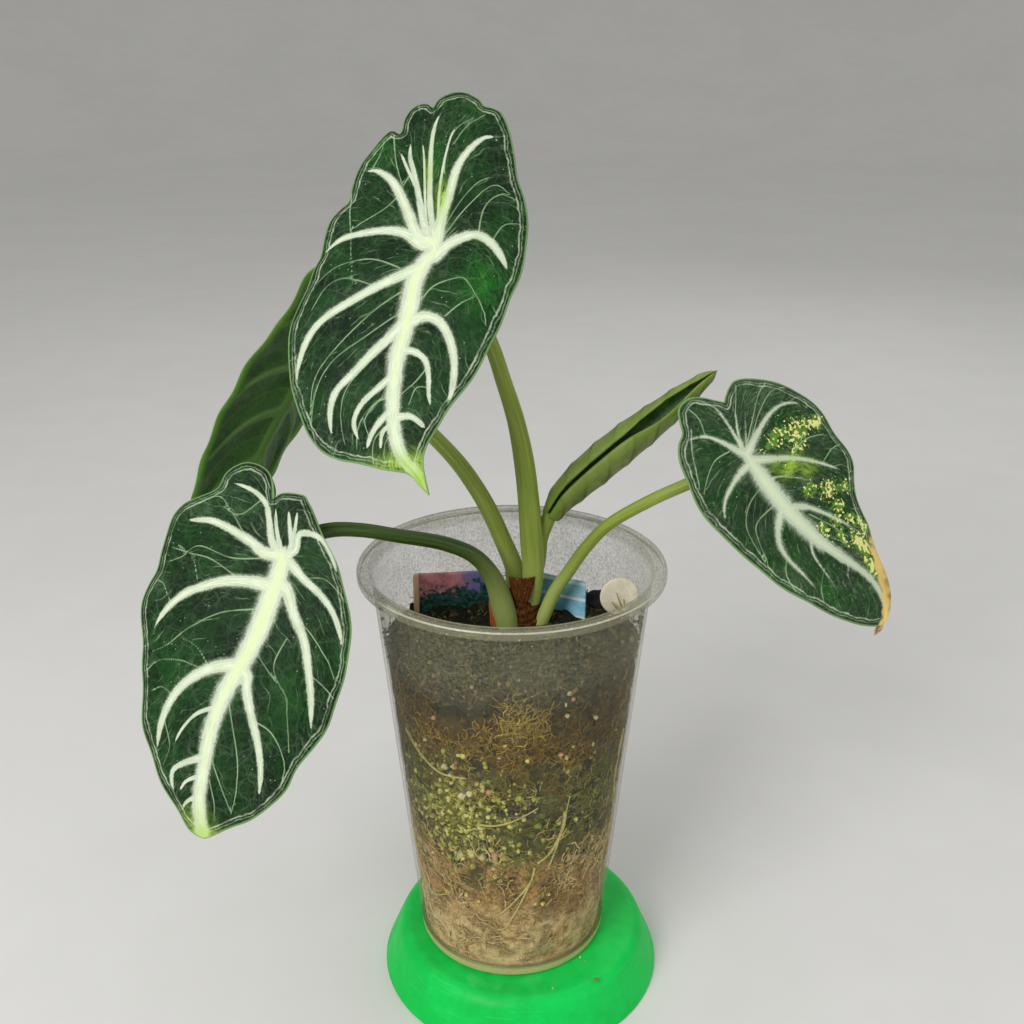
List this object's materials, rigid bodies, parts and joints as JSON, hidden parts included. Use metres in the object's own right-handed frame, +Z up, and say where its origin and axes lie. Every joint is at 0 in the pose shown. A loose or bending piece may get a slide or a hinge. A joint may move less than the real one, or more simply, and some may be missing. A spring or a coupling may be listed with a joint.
{
  "type": "potted variegated ninja alocasia",
  "caption": "Young jewel alocasia with velvety dark leaves, pale veins and cream flecks, rooted in moss in a clear plastic cup that stands on an upturned saucer.",
  "frame": {"origin": "middle of the footprint at the height the saucer stands on", "axes": "+Z up along the cup; -Y is the front, the side the leaves face; +X to the viewer's right"},
  "size_m": [0.2224, 0.1178, 0.2883],
  "materials": {
    "saucer_plastic": "satin, fine moulded grain",
    "cup_plastic": "clear, hazed by lime and scuffs",
    "moss_soil": "matt moss fibres, perlite and bark",
    "crown_fibre": "matt, fibrous",
    "dry_scale": "papery, dull",
    "stalk": "smooth, softly glossy",
    "leaf": "velvety, with pale feathered veins",
    "variegated_leaf": "velvety, with cream and lime flecks",
    "new_leaf": "smooth, softly glossy",
    "picture_label": "satin printed card",
    "striped_label": "satin printed card",
    "round_tag": "matt"
  },
  "bodies": {
    "root": {"saucer": "saucer_plastic", "cup": "cup_plastic", "soil": "moss_soil", "crown": "crown_fibre", "scale_front": "dry_scale", "scale_low": "dry_scale", "stalk_top": "stalk", "stalk_new": "stalk", "stalk_back": "stalk", "stalk_right": "stalk", "stalk_left": "stalk", "leaf_top": "leaf", "leaf_left": "leaf", "leaf_right": "variegated_leaf", "leaf_back": "leaf", "leaf_rolled": "new_leaf", "label_picture": "picture_label", "label_striped": "striped_label", "tag_round": "round_tag"}
  },
  "joints": []
}
